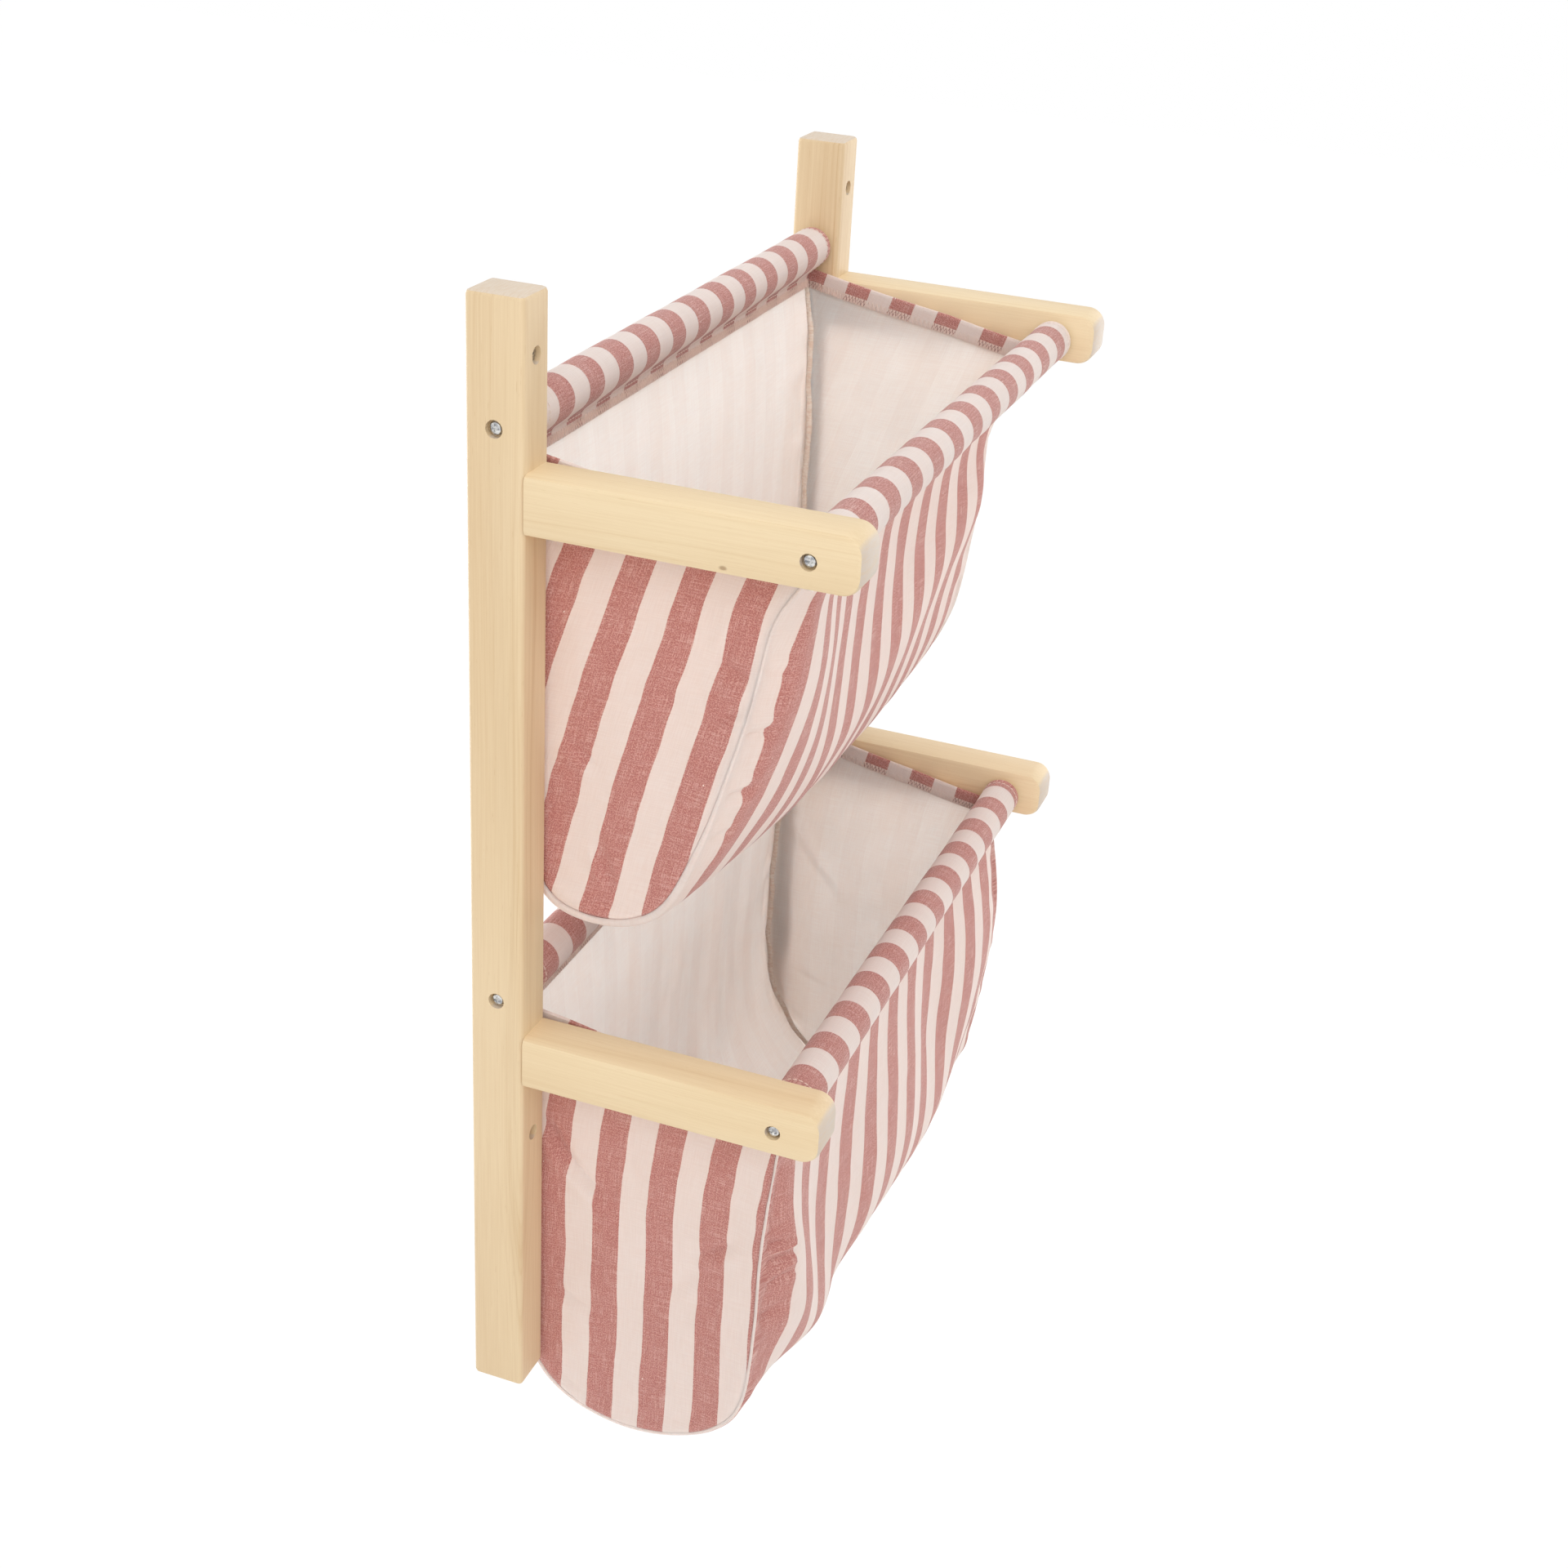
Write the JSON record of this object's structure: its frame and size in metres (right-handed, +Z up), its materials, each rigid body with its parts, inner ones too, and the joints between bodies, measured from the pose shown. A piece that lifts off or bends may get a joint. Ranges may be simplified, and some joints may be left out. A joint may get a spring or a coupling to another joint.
{
  "type": "sling bookshelf",
  "caption": "Wall-hung children's bookshelf: upright posts carry forward arms, and striped cloth slings hang on rods between them to hold books.",
  "frame": {"origin": "on the wall plane (the back faces of the posts), midway between the posts, at the height of the upper wall screws", "axes": "+X to the viewer's right along the rods, +Y into the wall, so the shelf stands out towards -Y, +Z up along the posts"},
  "size_m": [0.48, 0.209, 0.7146],
  "materials": {
    "wood": "pale planed wood, clear satin lacquer",
    "rod_wood": "turned pale wood, raw",
    "steel": "bright zinc-plated steel",
    "striped_cloth": "plain-weave cotton canvas, printed with dusty rose stripes on pale pink, off-white on the back"
  },
  "bodies": {
    "root": {"left_post": "wood", "left_wall_screw": "steel", "upper_left_arm": "wood", "upper_left_arm_screw": "steel", "upper_left_dowel": "rod_wood", "lower_left_arm": "wood", "lower_left_arm_screw": "steel", "lower_left_dowel": "rod_wood", "right_post": "wood", "right_wall_screw": "steel", "upper_right_arm": "wood", "upper_right_arm_screw": "steel", "upper_right_dowel": "rod_wood", "lower_right_arm": "wood", "lower_right_arm_screw": "steel", "lower_right_dowel": "rod_wood", "upper_rear_rod": "rod_wood", "upper_rear_rod_left_screw": "steel", "upper_rear_rod_right_screw": "steel", "upper_front_rod": "rod_wood", "upper_front_rod_left_screw": "steel", "upper_front_rod_right_screw": "steel", "upper_sling_panel": "striped_cloth", "upper_sling_left_gusset": "striped_cloth", "upper_sling_right_gusset": "striped_cloth", "lower_rear_rod": "rod_wood", "lower_rear_rod_left_screw": "steel", "lower_rear_rod_right_screw": "steel", "lower_front_rod": "rod_wood", "lower_front_rod_left_screw": "steel", "lower_front_rod_right_screw": "steel", "lower_sling_panel": "striped_cloth", "lower_sling_left_gusset": "striped_cloth", "lower_sling_right_gusset": "striped_cloth"}
  },
  "joints": []
}
